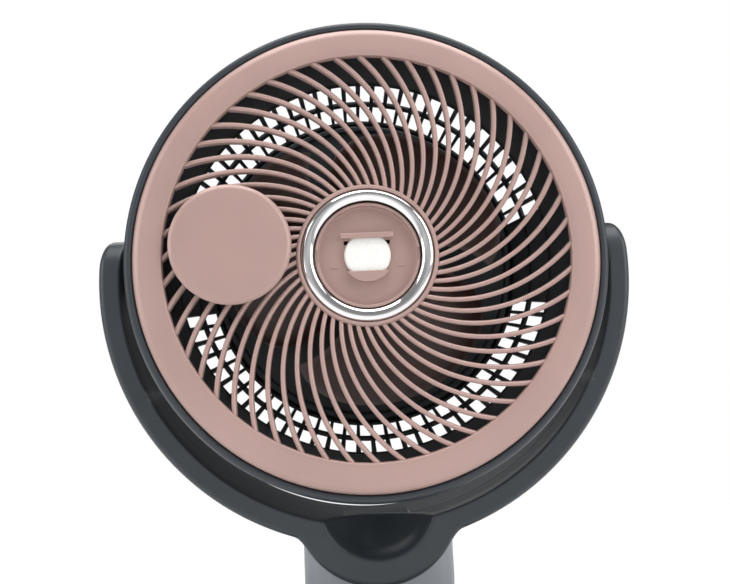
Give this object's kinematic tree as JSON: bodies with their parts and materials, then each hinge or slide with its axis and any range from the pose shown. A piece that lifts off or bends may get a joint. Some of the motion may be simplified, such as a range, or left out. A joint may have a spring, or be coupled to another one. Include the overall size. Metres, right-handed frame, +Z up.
{
  "type": "air circulator fan",
  "caption": "Air circulator fan with a dished swept-rib grille in a tilting head, a U-shaped yoke that swings on a round base, and a scent cup in the hub with its cap off.",
  "frame": {"origin": "middle of the base, on the surface that its feet stand on", "axes": "+Z up, the fan blows towards -Y, +X to the right of someone facing it"},
  "size_m": [0.404, 0.25, 0.5131],
  "materials": {
    "rose_paint": "satin pearl paint on moulded plastic",
    "charcoal_plastic": "satin moulded plastic, blue-grey",
    "graphite_plastic": "fine matt moulded plastic",
    "neck_grey": "satin moulded plastic, mid grey",
    "chrome_plate": "bright plated ring",
    "wheel_plastic": "dark brown moulded plastic",
    "felt": "pressed white felt",
    "zinc_steel": "bright zinc",
    "motor_alloy": "cast shell",
    "cast_iron": "raw casting",
    "foot_rubber": "soft rubber",
    "panel_gloss": "smoked gloss panel",
    "circuit_board": "glass-fibre board",
    "acetal": "natural acetal"
  },
  "bodies": {
    "stand": {"base_cover": "charcoal_plastic", "base_plate": "graphite_plastic", "base_weight": "cast_iron", "foot_1": "foot_rubber", "foot_2": "foot_rubber", "foot_3": "foot_rubber", "foot_4": "foot_rubber", "base_screw_1": "zinc_steel", "base_screw_2": "zinc_steel", "base_screw_3": "zinc_steel", "base_screw_4": "zinc_steel", "control_panel": "panel_gloss", "display_lens": "panel_gloss", "control_board": "circuit_board", "dc_inlet": "graphite_plastic", "swing_motor": "motor_alloy", "swing_bearing": "acetal"},
    "yoke": {"yoke_front": "charcoal_plastic", "yoke_back": "charcoal_plastic", "neck_column": "neck_grey", "neck_collar": "charcoal_plastic", "swing_shaft": "zinc_steel", "tilt_bush_left": "acetal", "tilt_bush_right": "acetal"},
    "head": {"front_grille": "rose_paint", "chrome_ring": "chrome_plate", "scent_cup": "rose_paint", "head_housing": "charcoal_plastic", "air_duct": "graphite_plastic", "rear_grille": "graphite_plastic", "motor_plate": "charcoal_plastic", "motor_housing": "charcoal_plastic", "fan_motor": "motor_alloy", "cup_screw_1": "zinc_steel", "cup_screw_2": "zinc_steel", "cup_screw_3": "zinc_steel", "dome_screw_1": "zinc_steel", "dome_screw_2": "zinc_steel", "dome_screw_3": "zinc_steel", "dome_screw_4": "zinc_steel", "pivot_bracket_left": "graphite_plastic", "pivot_bracket_right": "graphite_plastic", "tilt_pin_left": "zinc_steel", "tilt_pin_right": "zinc_steel"},
    "rotor": {"fan_blade": "wheel_plastic", "motor_shaft": "zinc_steel", "blade_nut": "graphite_plastic"},
    "pad": {"scent_pad": "felt"},
    "cap": {"scent_cap": "rose_paint"},
    "key_timer": {"button_timer": "charcoal_plastic"},
    "key_slower": {"button_slower": "charcoal_plastic"},
    "key_power": {"button_power": "charcoal_plastic"},
    "key_faster": {"button_faster": "charcoal_plastic"},
    "key_swing": {"button_swing": "charcoal_plastic"}
  },
  "joints": [
    {"name": "swing", "type": "hinge", "parent": "stand", "child": "yoke", "pos_m": [0, 0, 0.045], "axis": [0, 0, 1], "range_deg": [-60, 60]},
    {"name": "head_tilt", "type": "hinge", "parent": "yoke", "child": "head", "pos_m": [0, -0.008, 0.3421], "axis": [-1, 0, 0], "range_deg": [-15, 90]},
    {"name": "fan_spin", "type": "hinge", "parent": "head", "child": "rotor", "pos_m": [0, 0, 0.3421], "axis": [0, 1, 0], "continuous": true},
    {"name": "pad_lift", "type": "slide", "parent": "head", "child": "pad", "axis": [0, 0, 1], "range_m": [0, 0.016]},
    {"name": "cap_lift", "type": "slide", "parent": "head", "child": "cap", "axis": [0, -1, 0], "range_m": [0, 0.06]},
    {"name": "press_timer", "type": "slide", "parent": "stand", "child": "key_timer", "axis": [0, 0, -1], "range_m": [0, 0.001], "stiffness_N_per_m": 400},
    {"name": "press_slower", "type": "slide", "parent": "stand", "child": "key_slower", "axis": [0, 0, -1], "range_m": [0, 0.001], "stiffness_N_per_m": 400},
    {"name": "press_power", "type": "slide", "parent": "stand", "child": "key_power", "axis": [0, 0, -1], "range_m": [0, 0.001], "stiffness_N_per_m": 400},
    {"name": "press_faster", "type": "slide", "parent": "stand", "child": "key_faster", "axis": [0, 0, -1], "range_m": [0, 0.001], "stiffness_N_per_m": 400},
    {"name": "press_swing", "type": "slide", "parent": "stand", "child": "key_swing", "axis": [0, 0, -1], "range_m": [0, 0.001], "stiffness_N_per_m": 400}
  ]
}
